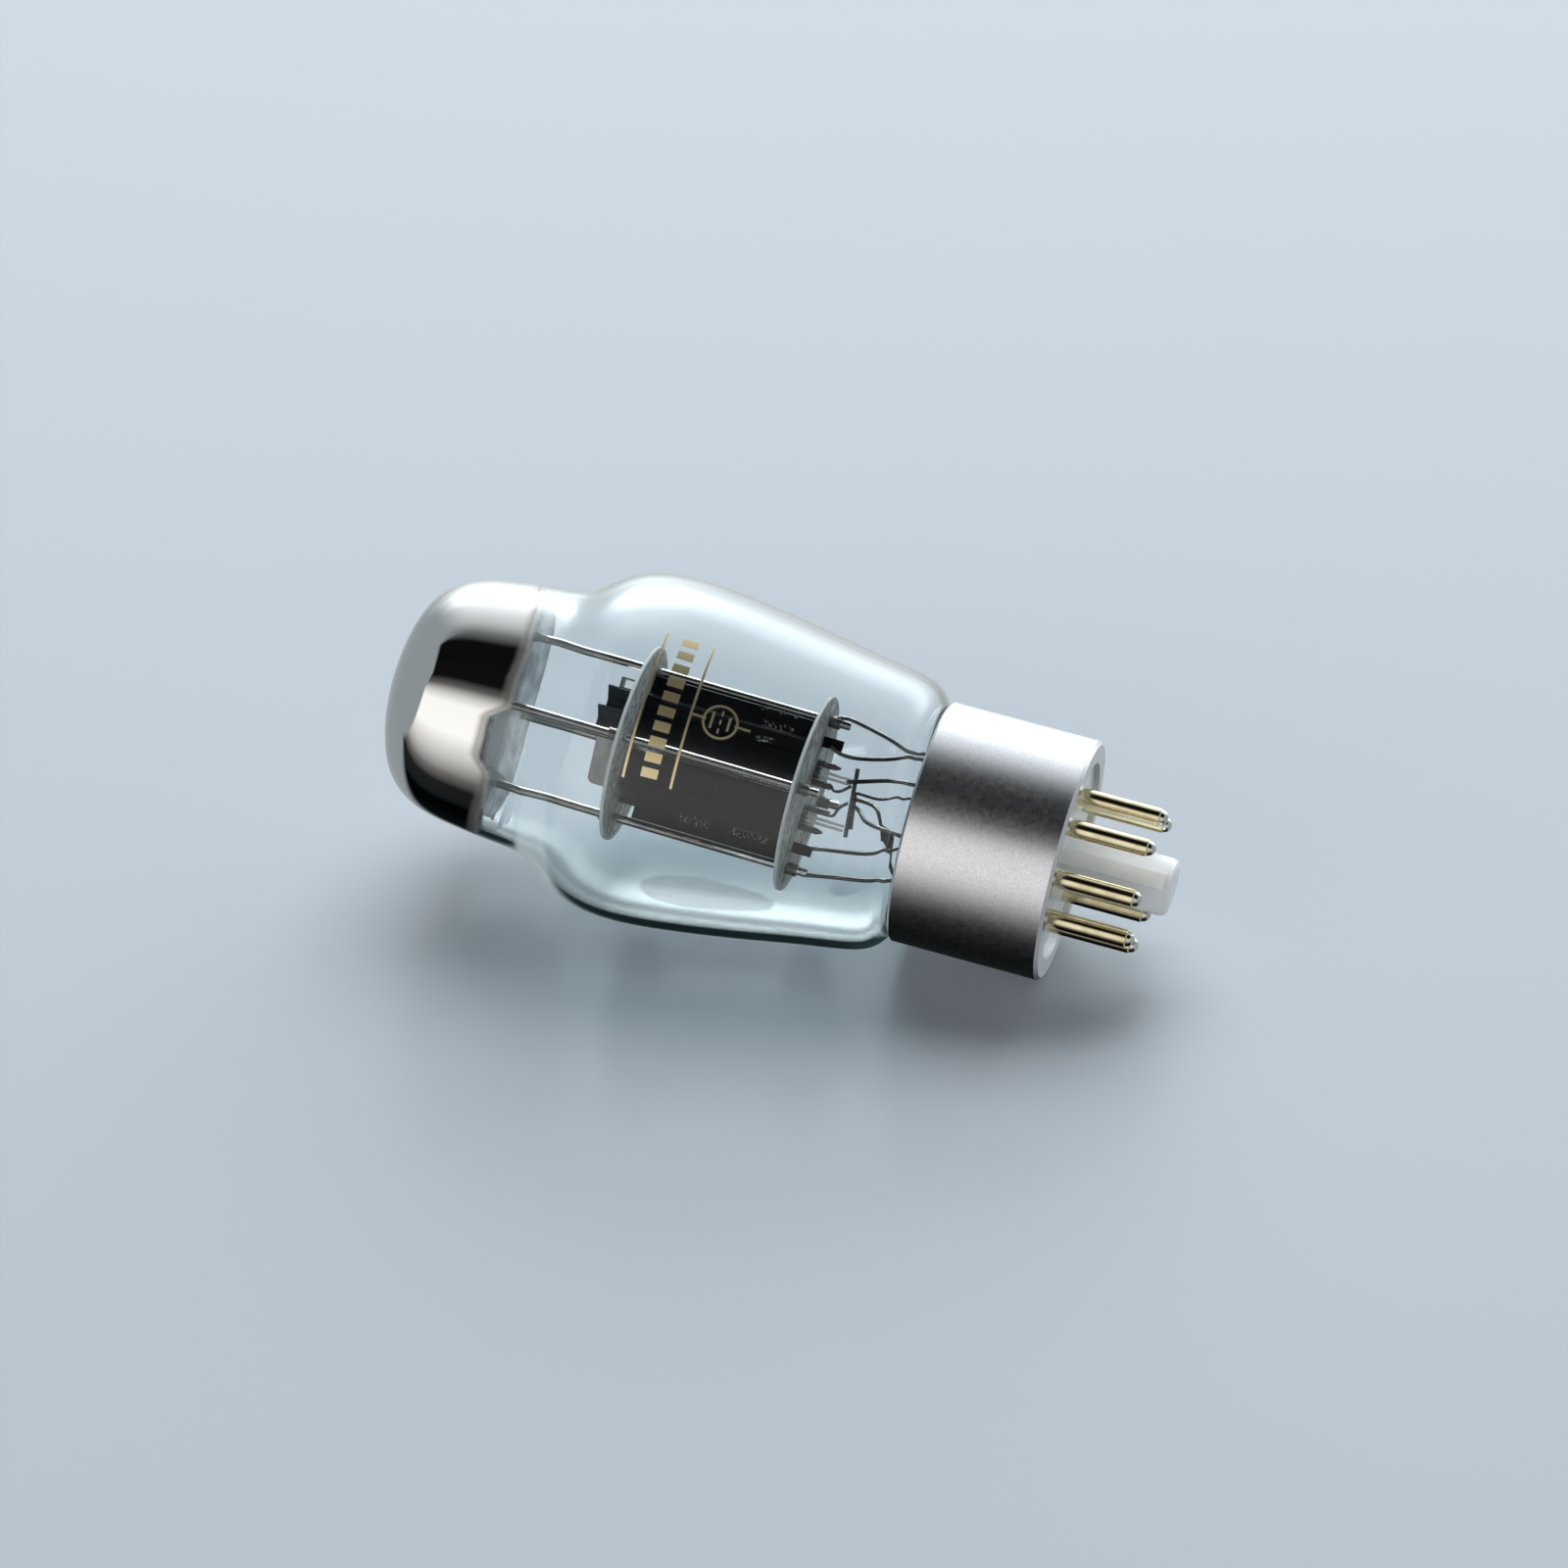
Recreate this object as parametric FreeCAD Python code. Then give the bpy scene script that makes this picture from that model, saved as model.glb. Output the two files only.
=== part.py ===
import FreeCAD, Part
import math
import os

# Octal-base twin triode with a shouldered glass bulb.
# Upright on the seating plane of the base: Z runs up the bulb, X and Y lie in the seating plane,
# and the key ridge of the base faces -Y. All lengths are in millimetres.

V = FreeCAD.Vector
AXIS_Z = V(0, 0, 1)

# Octal base
PIN_COUNT = 8
PIN_STEP = 360 / PIN_COUNT
PIN_CIRCLE_R = 8.73
PIN_R = 1.18
PIN_END_BEVEL = 0.14
PIN_NECK_R = 1.0
PIN_CUP_R = 0.8
PIN_CUP_Z = 3.0
PIN_TIP_Z = -10.9
PIN_TOP_Z = 5.6
SOLDER_R = 1.02
KEY_R = 3.8
KEY_BORE_R = 2.7
KEY_TIP_Z = -13.6
KEY_FLOOR = 1.4
KEY_RIDGE_W = 2.1
KEY_RIDGE_R = 4.75
WAFER_R = 13.0
WAFER_FACE_Z = 0.75
WAFER_STEP_Z = 3.2
WAFER_TOP_Z = 4.4
SLEEVE_R = 15.9
SLEEVE_H = 20.1
SLEEVE_RIM_BORE_R = 13.05
SLEEVE_BORE_R = 14.9
SLEEVE_CHAMFER = 0.45
SLEEVE_TOP_CHAMFER = 0.35
WAFER_FIT = 0.05
CEMENT_BOTTOM_Z = 16.0
CEMENT_TOP_Z = 19.5

# Bulb: outer profile as (height, radius) from the neck to the crown
GLASS_WALL = 0.9
NECK_R = 14.4
NECK_Z = 15.2
NECK_FLARE = 0.9
CROWN_Z = 91.6
BULB_PROFILE = [
    (20.6, 15.55), (21.6, 16.88), (22.9, 17.78), (25.4, 18.53), (30.6, 19.38),
    (38.2, 20.70), (46.0, 21.92), (51.1, 22.55), (56.0, 22.85), (60.1, 22.54),
    (62.7, 21.87), (64.6, 21.00), (66.6, 19.66), (68.2, 18.50), (69.4, 17.81),
    (70.9, 17.40), (74.3, 17.03), (79.0, 16.45), (82.6, 15.83), (85.0, 15.05),
    (87.0, 13.85), (88.6, 12.20), (89.9, 9.65), (90.9, 6.00), (91.45, 2.60),
]
FILM_LIP_Z = 76.6
FILM_LIP_TILT = 10.0
FILM_GAP = 0.02
FILM_WALL = 0.12

# Stem and exhaust tube
STEM_R = 13.45
STEM_BOTTOM_Z = 15.4
STEM_TOP_Z = 17.2
LEAD_BOSS_R = 0.9
LEAD_BOSS_TOP_R = 0.5
LEAD_BOSS_H = 0.8
EXHAUST_R = 2.3
EXHAUST_BORE_R = 1.3

# Electrode cage, built straight and then seated at a slight lean
CAGE_LEAN = 1.12
CAGE_TWIST = -3.0
CAGE_PIVOT = V(0, 0, 59.1)
MICA_R = 13.0
MICA_T = 0.4
BOTTOM_MICA_Z = 35.3
TOP_MICA_Z = 58.9
SPACER_R = 14.5
SPACER_TOOTH_R = 15.35
SPACER_Z = 74.7
SPACER_TEETH = 12
TOOTH_HALF_ANGLE = 4.5
TAB_X = 9.2
TAB_Y = -8.6
TAB_HALF_W = 1.0
TAB_LENGTH = 3.0
TAB_T = 0.25
ROD_R = 0.55
ROD_RING_R = 9.9
ROD_BOTTOM_Z = 32.5
ROD_TOP_Z = 76.1
COLLAR_R = 0.82
COLLAR_H = 1.5
CATHODE_X = 3.0
CATHODE_R = 0.8
CATHODE_BORE_R = 0.65
GRID_IN_X = 1.7
GRID_OUT_X = 4.3
GRID_ROD_R = 0.42
GRID_TOP_Z = 61.4
GRID_FOOT_Z = 32.8
GRID_POINT_H = 0.7
GRID_POINT_R = 0.15
GRID_HALF_DEPTH = 1.7
GRID_WIRE_R = 0.1
GRID_PITCH = 1.3
GRID_MARGIN = 0.8
CATHODE_BOTTOM_Z = 34.6
CATHODE_TOP_Z = 60.6
HEATER_R = 0.2
HEATER_SPREAD = 0.3
HEATER_BEND_Z = 57.0
ANODE_BOTTOM_Z = 36.7
ANODE_TOP_Z = 58.3
ANODE_HALF_DEPTH = 4.6
ANODE_SHEET = 0.3
ANODE_NEAR_X = 0.8
ANODE_BEND_X = 6.3
ANODE_NOSE_X = 6.95
ANODE_CREASE_X = 4.5
ANODE_CREASE_R = 0.16
ANODE_FLANGE_X = 9.3
ANODE_FLANGE_T = 0.7
EAR_IN_X = 6.4
EAR_OUT_X = 7.8
EAR_FOOT_Z = 32.7
STRAP_HALF_W = 0.75
STRAP_SHEET = 0.2
STRAP_TOP_Z = 63.0
FIN_T = 0.25
FIN_FOOT_Z = 59.5
LEAD_R = 0.28
THIN_LEAD_R = 0.2
LINK_R = 0.2
JUMPER_R = 0.24
LEAD_END_Z = 3.0
LEAD_TURN_Z = 19.0
LEAD_RISE_Z = 20.4
FLAG_LEAD = 4
FLAG_Y = -3.45
FLAG_T = 0.22
THIN_LEAD = 7
FLAG_OUTLINE = [
    (-2.03, 24.52), (-2.46, 22.61), (-3.27, 22.30), (-4.77, 21.91), (-6.40, 21.50), (-7.70, 20.40),
    (-7.90, 18.90), (-8.25, 18.90), (-8.20, 20.60), (-7.03, 21.95), (-5.78, 22.17), (-4.65, 22.55),
    (-4.20, 23.00), (-4.16, 23.63), (-3.03, 24.14),
]
GETTER_RING_R = 3.7
GETTER_WIRE_R = 0.45
GETTER_STAY_R = 0.25
GETTER_STAY_Z = 76.4
CLEAR = 1.0

os.makedirs("parts", exist_ok=True)


def save(shape, node):
    shape.exportStep("parts/" + node + ".step")


def polar(radius, degrees):
    angle = math.radians(degrees)
    return radius * math.cos(angle), radius * math.sin(angle)


def revolve(points):
    """Solid of revolution about Z from (radius, height) corners."""
    corners = [V(r, 0, z) for r, z in points]
    face = Part.Face(Part.makePolygon(corners + [corners[0]]))
    return face.revolve(V(0, 0, 0), AXIS_Z, 360)


def rod(x, y, z0, z1, radius):
    return Part.makeCylinder(radius, z1 - z0, V(x, y, z0))


def block(x0, x1, y0, y1, z0, z1):
    return Part.makeBox(x1 - x0, y1 - y0, z1 - z0, V(x0, y0, z0))


def prism(points, z0, z1):
    """Upright prism from (x, y) corners."""
    corners = [V(x, y, z0) for x, y in points]
    face = Part.Face(Part.makePolygon(corners + [corners[0]]))
    return face.extrude(V(0, 0, z1 - z0))


def wire(points, radius):
    """Round wire swept along a smooth curve through the points."""
    curve = Part.BSplineCurve()
    curve.interpolate([V(*p) for p in points])
    spine = Part.Wire(curve.toShape())
    start = curve.value(curve.FirstParameter)
    heading = curve.tangent(curve.FirstParameter)[0]
    profile = Part.Wire(Part.makeCircle(radius, start, heading))
    return spine.makePipeShell([profile], True, True)


def straight_wire(a, b, radius):
    start = V(*a)
    along = V(*b) - start
    return Part.makeCylinder(radius, along.Length, start, along)


def ribbon(points, thickness, z0, z1):
    """Folded upright sheet that follows a plan polyline."""
    shape = None
    for (xa, ya), (xb, yb) in zip(points, points[1:]):
        length = math.hypot(xb - xa, yb - ya)
        nx = -(yb - ya) / length * thickness / 2
        ny = (xb - xa) / length * thickness / 2
        corners = [(xa + nx, ya + ny), (xb + nx, yb + ny), (xb - nx, yb - ny), (xa - nx, ya - ny)]
        panel = prism(corners, z0, z1)
        shape = panel if shape is None else shape.fuse(panel)
    return shape.removeSplitter()


def mirror_x(shape):
    return shape.mirror(V(0, 0, 0), V(1, 0, 0))


def seat(shape):
    """Turn and lean a cage part the way the electrode cage sits in the bulb."""
    placed = shape.copy()
    placed.rotate(V(0, 0, 0), AXIS_Z, CAGE_TWIST)
    placed.rotate(CAGE_PIVOT, V(0, 1, 0), CAGE_LEAN)
    return placed


def through_crown(points, crown):
    """Smooth profile edge that meets the axis level, by carrying the curve on past the crown."""
    beyond = [V(-p.x, 0, p.z) for p in reversed(points[-6:])]
    curve = Part.BSplineCurve()
    curve.interpolate(points + [crown] + beyond)
    return curve, curve.toShape(curve.FirstParameter, curve.parameter(crown))


def bulb_edge(inset):
    """Bulb profile in the XZ plane, moved inward by the inset."""
    points = [V(r, 0, z) for z, r in BULB_PROFILE]
    outer, edge = through_crown(points, V(0, 0, CROWN_Z))
    if inset == 0:
        return edge
    moved = []
    for point in points:
        heading = outer.tangent(outer.parameter(point))[0]
        moved.append(point + V(-heading.z, 0, heading.x) * inset)
    return through_crown(moved, V(0, 0, CROWN_Z - inset))[1]


def line(a, b):
    return Part.makeLine(V(a[0], 0, a[1]), V(b[0], 0, b[1]))


# Glass envelope
outer_edge = bulb_edge(0)
inner_edge = bulb_edge(GLASS_WALL)
outer_start = outer_edge.valueAt(outer_edge.FirstParameter)
inner_start = inner_edge.valueAt(inner_edge.FirstParameter)
neck_in = NECK_R - GLASS_WALL
envelope_edges = [
    outer_edge,
    line((0, CROWN_Z), (0, CROWN_Z - GLASS_WALL)),
    inner_edge,
    line((inner_start.x, inner_start.z), (neck_in, inner_start.z - NECK_FLARE)),
    line((neck_in, inner_start.z - NECK_FLARE), (neck_in, NECK_Z)),
    line((neck_in, NECK_Z), (NECK_R, NECK_Z)),
    line((NECK_R, NECK_Z), (NECK_R, outer_start.z - NECK_FLARE)),
    line((NECK_R, outer_start.z - NECK_FLARE), (outer_start.x, outer_start.z)),
]
envelope_face = Part.Face(Part.Wire(Part.__sortEdges__(envelope_edges)))
save(envelope_face.revolve(V(0, 0, 0), AXIS_Z, 360), "glass_envelope")

# Mirror film on the inside of the crown, with its lip lower at the front than at the back
film_out = GLASS_WALL + FILM_GAP
film_in = film_out + FILM_WALL
film_edges = [
    bulb_edge(film_out),
    line((0, CROWN_Z - film_out), (0, CROWN_Z - film_in)),
    bulb_edge(film_in),
]
film_starts = [edge.valueAt(edge.FirstParameter) for edge in (film_edges[0], film_edges[2])]
film_edges.append(Part.makeLine(film_starts[0], film_starts[1]))
film_face = Part.Face(Part.Wire(Part.__sortEdges__(film_edges)))
film = film_face.revolve(V(0, 0, 0), AXIS_Z, 360)
crown_space = rod(0, 0, 0, CROWN_Z, SLEEVE_R * 2)
crown_space.rotate(V(0, 0, 0), V(1, 0, 0), FILM_LIP_TILT)
crown_space.translate(V(0, 0, FILM_LIP_Z))
save(film.common(crown_space), "getter_film")

# Lead positions, one straight above each base pin
pin_spots = [polar(PIN_CIRCLE_R, -PIN_STEP * (i + 0.5)) for i in range(PIN_COUNT)]

# Stem: glass button that carries the leads, with a small boss round each of them
stem = revolve([(0, STEM_BOTTOM_Z), (STEM_R, STEM_BOTTOM_Z), (STEM_R, STEM_TOP_Z), (0, STEM_TOP_Z)])
for x, y in pin_spots:
    stem = stem.fuse(Part.makeCone(LEAD_BOSS_R, LEAD_BOSS_TOP_R, LEAD_BOSS_H, V(x, y, STEM_TOP_Z)))
stem = stem.cut(rod(0, 0, STEM_BOTTOM_Z - CLEAR, STEM_TOP_Z + CLEAR, EXHAUST_BORE_R))
for x, y in pin_spots:
    stem = stem.cut(rod(x, y, STEM_BOTTOM_Z - CLEAR, STEM_TOP_Z + LEAD_BOSS_H + CLEAR, LEAD_R))
save(stem, "glass_stem")

# Exhaust tube, sealed off inside the key
exhaust = revolve([
    (EXHAUST_BORE_R, STEM_BOTTOM_Z), (EXHAUST_R, STEM_BOTTOM_Z), (EXHAUST_R, -7.5), (1.6, -9.6),
    (0, -10.6), (0, -9.4), (0.9, -8.7), (EXHAUST_BORE_R, -7.2),
])
save(exhaust, "exhaust_tube")

# Metal base sleeve
sleeve = revolve([
    (SLEEVE_RIM_BORE_R, 0), (SLEEVE_R - SLEEVE_CHAMFER, 0), (SLEEVE_R, SLEEVE_CHAMFER),
    (SLEEVE_R, SLEEVE_H - SLEEVE_TOP_CHAMFER), (SLEEVE_R - SLEEVE_TOP_CHAMFER, SLEEVE_H),
    (SLEEVE_BORE_R, SLEEVE_H), (SLEEVE_BORE_R, WAFER_STEP_Z), (SLEEVE_RIM_BORE_R, WAFER_STEP_Z),
])
save(sleeve, "base_sleeve")

# Cement ring between the glass neck and the sleeve
cement = revolve([
    (NECK_R, CEMENT_BOTTOM_Z), (SLEEVE_BORE_R, CEMENT_BOTTOM_Z),
    (SLEEVE_BORE_R, CEMENT_TOP_Z), (NECK_R, CEMENT_TOP_Z),
])
save(cement, "base_cement")

# Insulating wafer with the hollow locating key moulded on
wafer = revolve([
    (0, KEY_TIP_Z), (KEY_R - 0.9, KEY_TIP_Z), (KEY_R - 0.25, KEY_TIP_Z + 0.3), (KEY_R, KEY_TIP_Z + 1.0),
    (KEY_R, WAFER_FACE_Z), (WAFER_R, WAFER_FACE_Z), (WAFER_R, WAFER_STEP_Z),
    (SLEEVE_BORE_R - WAFER_FIT, WAFER_STEP_Z), (SLEEVE_BORE_R - WAFER_FIT, WAFER_TOP_Z), (0, WAFER_TOP_Z),
])
ridge = block(-KEY_RIDGE_W / 2, KEY_RIDGE_W / 2, -KEY_RIDGE_R, 0, KEY_TIP_Z + 0.9, WAFER_FACE_Z + 0.2)
wafer = wafer.fuse(ridge)
wafer = wafer.cut(rod(0, 0, KEY_TIP_Z + KEY_FLOOR, WAFER_TOP_Z + CLEAR, KEY_BORE_R))
for x, y in pin_spots:
    wafer = wafer.cut(rod(x, y, -CLEAR, WAFER_TOP_Z + CLEAR, PIN_NECK_R))
save(wafer.removeSplitter(), "base_wafer")

# Pins, narrowed where they pass the wafer, with a short cup at the top for the lead and solder on the tip
shank_end = PIN_TIP_Z + SOLDER_R
pins = []
beads = []
for x, y in pin_spots:
    bevel = Part.makeCone(PIN_R - PIN_END_BEVEL, PIN_R, PIN_END_BEVEL, V(x, y, shank_end))
    shank = rod(x, y, shank_end + PIN_END_BEVEL, WAFER_FACE_Z, PIN_R)
    neck = rod(x, y, WAFER_FACE_Z, PIN_TOP_Z, PIN_NECK_R)
    cup = rod(x, y, PIN_CUP_Z, PIN_TOP_Z + CLEAR, PIN_CUP_R)
    pins.append(bevel.fuse(shank).fuse(neck).cut(cup))
    beads.append(Part.makeSphere(SOLDER_R, V(x, y, shank_end), AXIS_Z, -90, 0, 360))
save(Part.makeCompound(pins), "base_pins")
save(Part.makeCompound(beads), "pin_solder")

# Support rods
rod_places = {
    "support_rod_a": (ROD_RING_R, 0),
    "support_rod_b": (0, -ROD_RING_R),
    "support_rod_c": (-ROD_RING_R, 0),
    "support_rod_d": (0, ROD_RING_R),
}
for node, (x, y) in rod_places.items():
    save(seat(rod(x, y, ROD_BOTTOM_Z, ROD_TOP_Z, ROD_R)), node)

# Collars that lock the rods against the two electrode spacers
collars = []
for x, y in rod_places.values():
    for z in (BOTTOM_MICA_Z - COLLAR_H, TOP_MICA_Z + MICA_T):
        collars.append(rod(x, y, z, z + COLLAR_H, COLLAR_R).cut(rod(x, y, z, z + COLLAR_H, ROD_R)))
save(seat(Part.makeCompound(collars)), "rod_collars")


def spacer_disc(z, outline):
    """Mica disc with the rod holes cut."""
    disc = outline
    for x, y in rod_places.values():
        disc = disc.cut(rod(x, y, z - CLEAR, z + MICA_T + CLEAR, ROD_R))
    return disc


def electrode_mica(z):
    """Round mica that locates both electrode sets."""
    disc = spacer_disc(z, rod(0, 0, z, z + MICA_T, MICA_R))
    low = z - CLEAR
    high = z + MICA_T + CLEAR
    ear_slot = block(EAR_IN_X, EAR_OUT_X, -ANODE_FLANGE_T / 2, ANODE_FLANGE_T / 2, low, high)
    vents = [block(2.4, 6.4, y, y + 0.7, low, high) for y in (-6.3, 5.6)]
    for slot in [ear_slot] + vents:
        disc = disc.cut(slot).cut(mirror_x(slot))
    for side in (-1, 1):
        for x, radius in ((GRID_IN_X, GRID_ROD_R), (GRID_OUT_X, GRID_ROD_R), (CATHODE_X, CATHODE_R)):
            disc = disc.cut(rod(side * x, 0, low, high, radius))
    return disc


save(seat(electrode_mica(BOTTOM_MICA_Z)), "bottom_mica")
save(seat(electrode_mica(TOP_MICA_Z)), "top_mica")

# Toothed mica under the crown, with two bent-down V tabs
spacer_top = SPACER_Z + MICA_T
spacer = rod(0, 0, SPACER_Z, spacer_top, SPACER_R)
tooth_root_r = SPACER_R - 0.3
for i in range(SPACER_TEETH):
    mid = 360 / SPACER_TEETH * (i + 0.5)
    tooth = [
        polar(tooth_root_r, mid - TOOTH_HALF_ANGLE), polar(SPACER_TOOTH_R, mid),
        polar(tooth_root_r, mid + TOOTH_HALF_ANGLE),
    ]
    spacer = spacer.fuse(prism(tooth, SPACER_Z, spacer_top))
tab_root_z = SPACER_Z + MICA_T / 2
for side in (-1, 1):
    corners = [(-TAB_HALF_W, tab_root_z), (TAB_HALF_W, tab_root_z), (0, SPACER_Z - TAB_LENGTH)]
    loop = [V(side * TAB_X + x, TAB_Y, z) for x, z in corners + corners[:1]]
    spacer = spacer.fuse(Part.Face(Part.makePolygon(loop)).extrude(V(0, TAB_T, 0)))
save(seat(spacer_disc(SPACER_Z, spacer.removeSplitter())), "spacer_mica")

# Anodes: folded box sections with a seam flange that reaches out to the side rod
def box_section(inset):
    """Anode outline in plan, moved inward by the inset."""
    near = ANODE_NEAR_X + inset
    bend = ANODE_BEND_X - inset
    nose = ANODE_NOSE_X - inset
    depth = ANODE_HALF_DEPTH - inset
    nose_y = ANODE_FLANGE_T / 2
    return [(near, -depth), (bend, -depth), (nose, -nose_y), (nose, nose_y), (bend, depth), (near, depth)]


def anode(flange_top, ear_top):
    shell = prism(box_section(0), ANODE_BOTTOM_Z, ANODE_TOP_Z)
    shell = shell.cut(prism(box_section(ANODE_SHEET), ANODE_BOTTOM_Z - CLEAR, ANODE_TOP_Z + CLEAR))
    for y in (-ANODE_HALF_DEPTH, ANODE_HALF_DEPTH):
        shell = shell.cut(rod(ANODE_CREASE_X, y, ANODE_BOTTOM_Z - CLEAR, ANODE_TOP_Z + CLEAR, ANODE_CREASE_R))
    half = ANODE_FLANGE_T / 2
    nose_in = ANODE_NOSE_X - 0.05
    flange = block(nose_in, ANODE_FLANGE_X, -half, half, ANODE_BOTTOM_Z, flange_top)
    low_ear = block(EAR_IN_X, EAR_OUT_X, -half, half, EAR_FOOT_Z, ANODE_BOTTOM_Z + 1)
    top_ear = block(nose_in, EAR_OUT_X, -half, half, ANODE_TOP_Z - 2, ear_top)
    for extra in (flange, low_ear, top_ear):
        shell = shell.fuse(extra)
    shell = shell.cut(rod(ROD_RING_R, 0, ROD_BOTTOM_Z, ROD_TOP_Z, ROD_R))
    return shell.removeSplitter()


save(seat(anode(ANODE_TOP_Z + 0.5, 59.9)), "anode_a")
save(seat(mirror_x(anode(56.6, 60.9))), "anode_b")

# Strap cap over the upper ear of the first anode
strap_in = ANODE_NOSE_X - 0.5
strap_out = EAR_OUT_X + 0.15
strap = block(strap_in, strap_out, -STRAP_HALF_W, STRAP_HALF_W, TOP_MICA_Z + MICA_T, STRAP_TOP_Z)
strap = strap.cut(block(strap_in + STRAP_SHEET, strap_out - STRAP_SHEET, -STRAP_HALF_W - CLEAR,
                        STRAP_HALF_W + CLEAR, TOP_MICA_Z, STRAP_TOP_Z - 2 * STRAP_SHEET))
save(seat(strap), "anode_strap")


def oval_loop(x, z):
    """One turn of grid wire round both side rods."""
    half_width = (GRID_OUT_X - GRID_IN_X) / 2 + GRID_ROD_R
    ellipse = Part.Ellipse(V(x, 0, z), half_width, GRID_HALF_DEPTH)
    spine = Part.Wire(ellipse.toShape())
    start = V(x + half_width, 0, z)
    profile = Part.Wire(Part.makeCircle(GRID_WIRE_R, start, V(0, 1, 0)))
    return spine.makePipeShell([profile], True, False)


def grid(inner_foot):
    """Two side rods, the outer one ground to a point, joined by oval loops of grid wire."""
    shape = rod(GRID_IN_X, 0, inner_foot, GRID_TOP_Z, GRID_ROD_R)
    shape = shape.fuse(rod(GRID_OUT_X, 0, GRID_FOOT_Z, GRID_TOP_Z, GRID_ROD_R))
    point = V(GRID_OUT_X, 0, GRID_FOOT_Z - GRID_POINT_H)
    shape = shape.fuse(Part.makeCone(GRID_POINT_R, GRID_ROD_R, GRID_POINT_H, point))
    middle = (GRID_IN_X + GRID_OUT_X) / 2
    turns = int((ANODE_TOP_Z - ANODE_BOTTOM_Z - 2 * GRID_MARGIN) / GRID_PITCH) + 1
    for i in range(turns):
        shape = shape.fuse(oval_loop(middle, ANODE_BOTTOM_Z + GRID_MARGIN + i * GRID_PITCH))
    return shape


save(seat(grid(32.7)), "grid_a")
save(seat(mirror_x(grid(31.9))), "grid_b")

# Grid radiators above the top mica
rear_fold = [(1.0, -0.55), (2.1, -0.55), (3.5, -3.0)]
front_fold = [(3.5, -3.0), (3.6, -0.55), (4.7, -0.55), (6.3, -2.9)]
fin_a = ribbon(rear_fold, FIN_T, FIN_FOOT_Z, 64.6).fuse(ribbon(front_fold, FIN_T, FIN_FOOT_Z, 64.0))
save(seat(fin_a.removeSplitter()), "grid_fin_a")
fin_b_corners = [
    (-0.4, FIN_FOOT_Z), (-0.4, 64.0), (-5.9, 63.6), (-6.4, 63.2), (-6.5, 62.6), (-6.5, FIN_FOOT_Z),
]
fin_b_outline = [V(x, -0.66, z) for x, z in fin_b_corners + fin_b_corners[:1]]
fin_b = Part.Face(Part.makePolygon(fin_b_outline)).extrude(V(0, FIN_T, 0))
fin_b_rib = block(-5.05, -4.85, -0.75, -0.55, 59.6, 61.4)
save(seat(fin_b.fuse(fin_b_rib).removeSplitter()), "grid_fin_b")

# Cathode sleeves
cathode = rod(CATHODE_X, 0, CATHODE_BOTTOM_Z, CATHODE_TOP_Z, CATHODE_R)
cathode = cathode.cut(rod(CATHODE_X, 0, CATHODE_BOTTOM_Z - CLEAR, CATHODE_TOP_Z + CLEAR, CATHODE_BORE_R))
save(seat(cathode), "cathode_a")
save(seat(mirror_x(cathode)), "cathode_b")


def heater(foot):
    """Coated hairpin inside the cathode with both legs run down to the jumper wire."""
    bend = Part.makeTorus(HEATER_SPREAD, HEATER_R, V(CATHODE_X, 0, HEATER_BEND_Z), V(0, 1, 0))
    bend_top = HEATER_BEND_Z + CLEAR
    upper_half = block(CATHODE_X - CLEAR, CATHODE_X + CLEAR, -CLEAR, CLEAR, HEATER_BEND_Z, bend_top)
    shape = bend.common(upper_half)
    for x in (CATHODE_X - HEATER_SPREAD, CATHODE_X + HEATER_SPREAD):
        shape = shape.fuse(rod(x, 0, foot, HEATER_BEND_Z, HEATER_R))
    return shape.removeSplitter()


save(seat(heater(30.2)), "heater_a")
save(seat(mirror_x(heater(29.65))), "heater_b")

# Jumper wires below the cage and the links from the inner grid rods
jumper = straight_wire((4.35, -0.44, 29.90), (-4.59, 0.46, 29.19), LEAD_R)
jumper = jumper.fuse(straight_wire((1.40, 0.12, 29.45), (-3.39, 0.60, 28.80), JUMPER_R))
save(jumper, "heater_jumper")
link_a = wire([(1.34, -0.10, 32.62), (0.81, -0.08, 32.07), (0.94, -0.12, 31.40), (1.55, -0.20, 30.60),
               (1.96, -0.20, 30.10)], LINK_R)
save(link_a, "grid_link_a")
link_b = wire([(-2.40, 0.13, 31.85), (-2.30, 0.10, 31.43), (-1.45, 0.05, 31.05), (-0.60, 0.02, 30.40),
               (-0.25, 0.0, 29.95)], LINK_R)
save(link_b, "grid_link_b")

# Upper runs of the leads, from the cage down to just above the stem, in pin order
lead_runs = [
    [(10.0, -0.9, 34.2), (10.2, -1.0, 32.5), (9.85, -1.39, 30.5), (9.2, -2.1, 27.8), (8.6, -2.7, 25.8),
     (8.1, -3.05, 24.4), (7.85, -3.25, 23.3)],
    [(2.35, -0.85, 30.6), (2.71, -2.79, 28.3), (3.09, -4.73, 26.1), (3.26, -6.16, 24.6), (3.3, -7.3, 23.2),
     (3.34, -7.9, 22.2)],
    [(-0.55, -0.55, 29.15), (-1.15, -2.1, 27.9), (-2.26, -4.4, 26.7), (-2.75, -6.0, 25.5),
     (-3.1, -7.6, 23.4)],
    [],
    [(-10.7, 0.95, 33.4), (-10.5, 1.1, 32.5), (-9.75, 1.98, 28.8), (-8.95, 2.9, 24.6)],
    [(-7.1, 0.75, 33.0), (-6.84, 1.1, 31.9), (-5.43, 5.6, 26.4), (-4.6, 7.3, 24.4)],
    [(1.35, 0.55, 29.2), (1.5, 2.46, 28.1), (1.8, 5.06, 26.8), (2.5, 7.2, 25.0)],
    [(6.2, -0.75, 34.0), (5.6, -0.5, 32.4), (5.67, 0.03, 30.6), (6.32, 1.17, 28.2), (7.15, 2.3, 25.8),
     (7.7, 3.0, 24.2)],
]

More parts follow.
